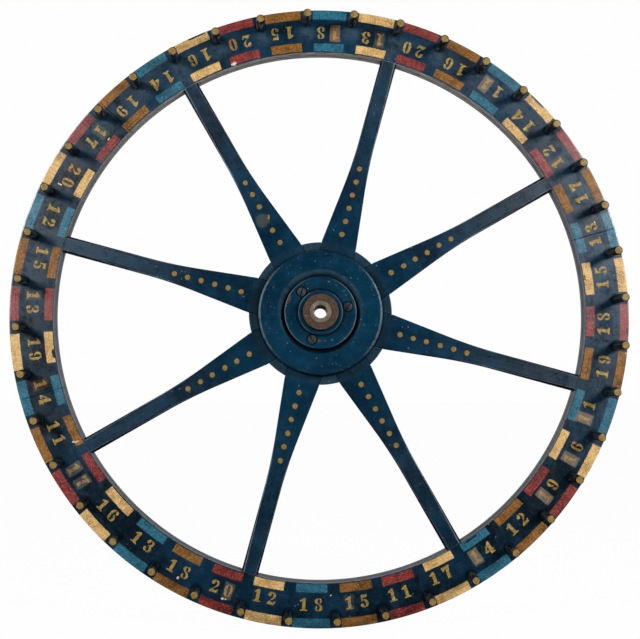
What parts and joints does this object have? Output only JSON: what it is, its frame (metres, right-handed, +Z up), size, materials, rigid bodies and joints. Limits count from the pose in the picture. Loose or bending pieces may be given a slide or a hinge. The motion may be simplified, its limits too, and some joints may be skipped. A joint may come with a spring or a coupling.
{
  "type": "carnival game wheel",
  "caption": "Spoked wooden game wheel with a laminated rim, a ring of pegs and painted number places, turning on a steel axle sleeve.",
  "frame": {"origin": "on the axle's centre line, at the glue joint in the middle of the rim's thickness", "axes": "+Y along the axle towards the back of the wheel, +Z up, the numbered face towards -Y"},
  "size_m": [0.9144, 0.0785, 0.9144],
  "materials": {
    "navy_wood": "old navy oil paint, worn at the edges",
    "peg_wood": "turned dowel, dark painted sides and ochre ends",
    "painted_iron": "painted navy, rubbed to brown rust on the boss",
    "screw_steel": "dull and brown with rust",
    "sleeve_steel": "oiled, brown with age"
  },
  "bodies": {
    "axle": {"axle_sleeve": "sleeve_steel"},
    "wheel": {"front_flange": "painted_iron", "rear_flange": "painted_iron", "front_flange_screws": "screw_steel", "rear_flange_screws": "screw_steel", "front_hub_disc": "navy_wood", "rear_hub_disc": "navy_wood", "spoke_1": "navy_wood", "spoke_2": "navy_wood", "spoke_3": "navy_wood", "spoke_4": "navy_wood", "spoke_5": "navy_wood", "spoke_6": "navy_wood", "spoke_7": "navy_wood", "spoke_8": "navy_wood", "hub_filler_1": "navy_wood", "hub_filler_2": "navy_wood", "hub_filler_3": "navy_wood", "hub_filler_4": "navy_wood", "hub_filler_5": "navy_wood", "hub_filler_6": "navy_wood", "hub_filler_7": "navy_wood", "hub_filler_8": "navy_wood", "front_felloe_1": "navy_wood", "front_felloe_2": "navy_wood", "front_felloe_3": "navy_wood", "front_felloe_4": "navy_wood", "front_felloe_5": "navy_wood", "front_felloe_6": "navy_wood", "rear_felloe_1": "navy_wood", "rear_felloe_2": "navy_wood", "rear_felloe_3": "navy_wood", "rear_felloe_4": "navy_wood", "rear_felloe_5": "navy_wood", "rear_felloe_6": "navy_wood", "pegs": "peg_wood"}
  },
  "joints": [
    {"name": "wheel_spin", "type": "hinge", "parent": "axle", "child": "wheel", "pos_m": [0, 0, 0], "axis": [0, -1, 0], "continuous": true}
  ]
}
